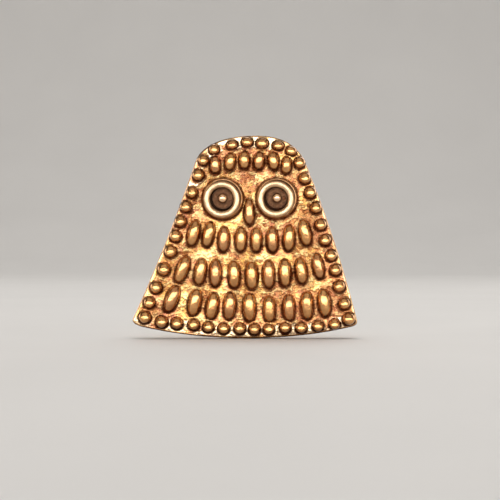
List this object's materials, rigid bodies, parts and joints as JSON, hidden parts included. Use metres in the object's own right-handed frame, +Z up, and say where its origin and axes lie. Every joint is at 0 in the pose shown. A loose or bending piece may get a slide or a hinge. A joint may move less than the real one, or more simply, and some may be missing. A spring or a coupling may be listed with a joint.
{
  "type": "owl brooch",
  "caption": "Bell-shaped metal owl brooch with soldered round edge grains, oval feather grains and ringed eyes, and a hinged pin with a safety catch on its back.",
  "frame": {"origin": "middle of the plate's flat back face", "axes": "+X to the viewer's right when facing the owl, +Y out of the back into the cloth, +Z up to the top of the head; the owl looks towards -Y"},
  "size_m": [0.044, 0.0083, 0.0397],
  "materials": {
    "plate": "rough sandy ground with pink copper and yellow patches and dark specks, smooth bright rim",
    "grain": "polished brown bronze, dark patina at the foot",
    "eye_ring": "worn bright bronze",
    "eye_disc": "dark brown patina, slightly rough",
    "pupil": "polished",
    "finding": "satin",
    "pin_steel": "drawn wire"
  },
  "bodies": {
    "plaque": {"base_plate": "plate", "edge_grains_left": "grain", "edge_grains_head": "grain", "edge_grains_right": "grain", "edge_grains_foot": "grain", "crown_feather_1": "grain", "crown_feather_2": "grain", "crown_feather_3": "grain", "crown_feather_4": "grain", "crown_feather_5": "grain", "crown_feather_6": "grain", "breast_feather_1": "grain", "breast_feather_2": "grain", "breast_feather_3": "grain", "breast_feather_4": "grain", "breast_feather_5": "grain", "breast_feather_6": "grain", "breast_feather_7": "grain", "breast_feather_8": "grain", "belly_feather_1": "grain", "belly_feather_2": "grain", "belly_feather_3": "grain", "belly_feather_4": "grain", "belly_feather_5": "grain", "belly_feather_6": "grain", "belly_feather_7": "grain", "belly_feather_8": "grain", "belly_feather_9": "grain", "hem_feather_1": "grain", "hem_feather_2": "grain", "hem_feather_3": "grain", "hem_feather_4": "grain", "hem_feather_5": "grain", "hem_feather_6": "grain", "hem_feather_7": "grain", "hem_feather_8": "grain", "hem_feather_9": "grain", "beak": "grain", "left_eye_ring": "eye_ring", "right_eye_ring": "eye_ring", "left_eye_disc": "eye_disc", "right_eye_disc": "eye_disc", "left_pupil": "pupil", "right_pupil": "pupil", "hinge_bracket": "finding", "hinge_rivet": "finding", "catch_tube": "finding"},
    "pin": {"pin_stem": "pin_steel"},
    "safety_sleeve": {"catch_sleeve": "finding"}
  },
  "joints": [
    {"name": "pin_hinge", "type": "hinge", "parent": "plaque", "child": "pin", "pos_m": [0.0115, 0.003, 0.003], "axis": [0, 0, -1], "range_deg": [0, 85]},
    {"name": "sleeve_turn", "type": "hinge", "parent": "plaque", "child": "safety_sleeve", "pos_m": [-0.0095, 0.003, 0.003], "axis": [-1, 0, 0], "range_deg": [0, 100]}
  ]
}
